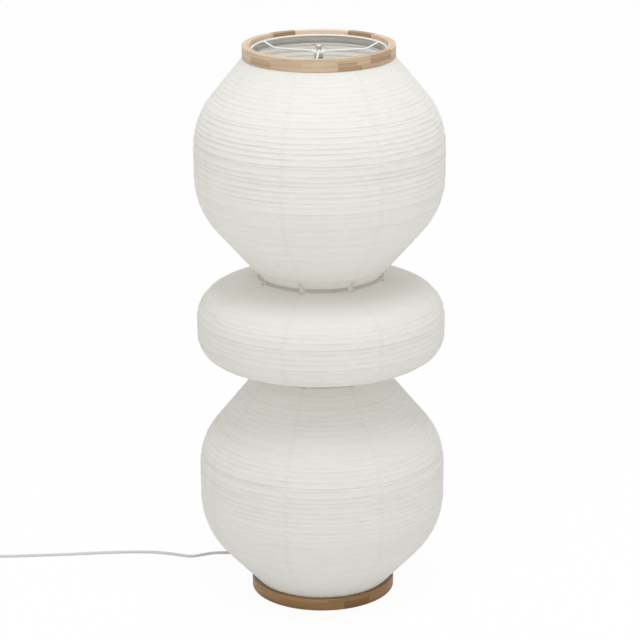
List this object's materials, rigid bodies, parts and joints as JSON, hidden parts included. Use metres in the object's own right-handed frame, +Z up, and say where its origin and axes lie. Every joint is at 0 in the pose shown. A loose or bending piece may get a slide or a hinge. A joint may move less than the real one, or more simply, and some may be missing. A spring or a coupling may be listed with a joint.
{
  "type": "paper lantern floor lamp",
  "caption": "Tall floor lamp: stacked white paper lantern sections between wooden rings, hung from a wire spider on a slim steel stand, with lampholders inside and a switched mains cord.",
  "frame": {"origin": "on the floor, under the lamp's vertical axis", "axes": "+Z up along the lamp's axis; -Y towards the viewer of the reference view; the cord leaves at the back and runs to -X"},
  "size_m": [0.9396, 0.4, 0.915],
  "materials": {
    "white_paper": "matt white mulberry paper",
    "bamboo": "split bamboo, raw",
    "pale_wood": "pale hardwood blocks, clear matt lacquer",
    "base_wood": "darker hardwood blocks, clear matt lacquer",
    "white_wire": "white powder coat",
    "neck_wire": "dull drawn wire",
    "clip_steel": "plain folded sheet",
    "bright_steel": "bright nickel plate",
    "grey_paint": "satin grey paint",
    "felt": "pressed felt",
    "brass_nipple": "turned brass",
    "holder_white": "white heat-proof plastic",
    "cap_aluminium": "rolled aluminium screw cap",
    "opal_glass": "opal white glass",
    "cord_sheath": "round white sheath, slightly grey",
    "white_plastic": "moulded white plastic",
    "tie_strap": "grey tie strap",
    "plug_white": "moulded white plug",
    "nickel": "nickel-plated brass"
  },
  "bodies": {
    "stand": {"foot_plate": "grey_paint", "foot_pad": "felt", "pole_boss": "grey_paint", "pole_lower": "grey_paint", "pole_upper": "grey_paint", "pole_coupling": "grey_paint", "pole_top_fitting": "bright_steel", "top_stud": "bright_steel", "inner_cable": "cord_sheath", "cord_clamp": "white_plastic", "clamp_screws": "bright_steel", "cord_gland": "cord_sheath", "cord_run": "cord_sheath", "cord_link": "cord_sheath", "cord_tail": "cord_sheath", "cord_coil": "cord_sheath", "coil_tie": "tie_strap", "switch_base": "white_plastic", "switch_cover": "white_plastic", "switch_screws": "bright_steel", "plug_body": "plug_white", "plug_pins": "nickel", "upper_holder_bracket": "grey_paint", "upper_holder_nipple": "brass_nipple", "upper_lampholder": "holder_white", "upper_holder_lead": "cord_sheath", "lower_holder_bracket": "grey_paint", "lower_holder_nipple": "brass_nipple", "lower_lampholder": "holder_white", "lower_holder_lead": "cord_sheath"},
    "shade": {"top_wood_ring": "pale_wood", "base_wood_ring": "base_wood", "upper_globe_paper": "white_paper", "upper_globe_ribs": "bamboo", "disc_paper": "white_paper", "disc_ribs": "bamboo", "lower_globe_paper": "white_paper", "lower_globe_ribs": "bamboo", "top_rim_wire": "white_wire", "base_rim_wire": "white_wire", "upper_neck_wires": "neck_wire", "upper_neck_clips": "clip_steel", "lower_neck_wires": "neck_wire", "lower_neck_clips": "clip_steel", "spider_hub": "white_wire", "spider_arms": "white_wire"},
    "finial": {"finial_knob": "bright_steel"},
    "upper_bulb": {"upper_bulb_cap": "cap_aluminium", "upper_bulb_glass": "opal_glass"},
    "lower_bulb": {"lower_bulb_cap": "cap_aluminium", "lower_bulb_glass": "opal_glass"},
    "rocker": {"switch_rocker": "white_plastic"}
  },
  "joints": [
    {"name": "shade_lift", "type": "slide", "parent": "stand", "child": "shade", "axis": [0, 0, 1], "range_m": [0, 0.92]},
    {"name": "finial_turn", "type": "hinge", "parent": "shade", "child": "finial", "pos_m": [0, 0, 0.91], "axis": [0, 0, 1], "continuous": true},
    {"name": "upper_bulb_turn", "type": "hinge", "parent": "stand", "child": "upper_bulb", "pos_m": [0.042, 0, 0.64], "axis": [0, 0, 1], "continuous": true},
    {"name": "lower_bulb_turn", "type": "hinge", "parent": "stand", "child": "lower_bulb", "pos_m": [-0.042, 0, 0.146], "axis": [0, 0, 1], "continuous": true},
    {"name": "rocker_tilt", "type": "hinge", "parent": "stand", "child": "rocker", "pos_m": [-0.631, 0.1126, 0.0105], "axis": [0, 1, 0], "range_deg": [0, 22]}
  ]
}
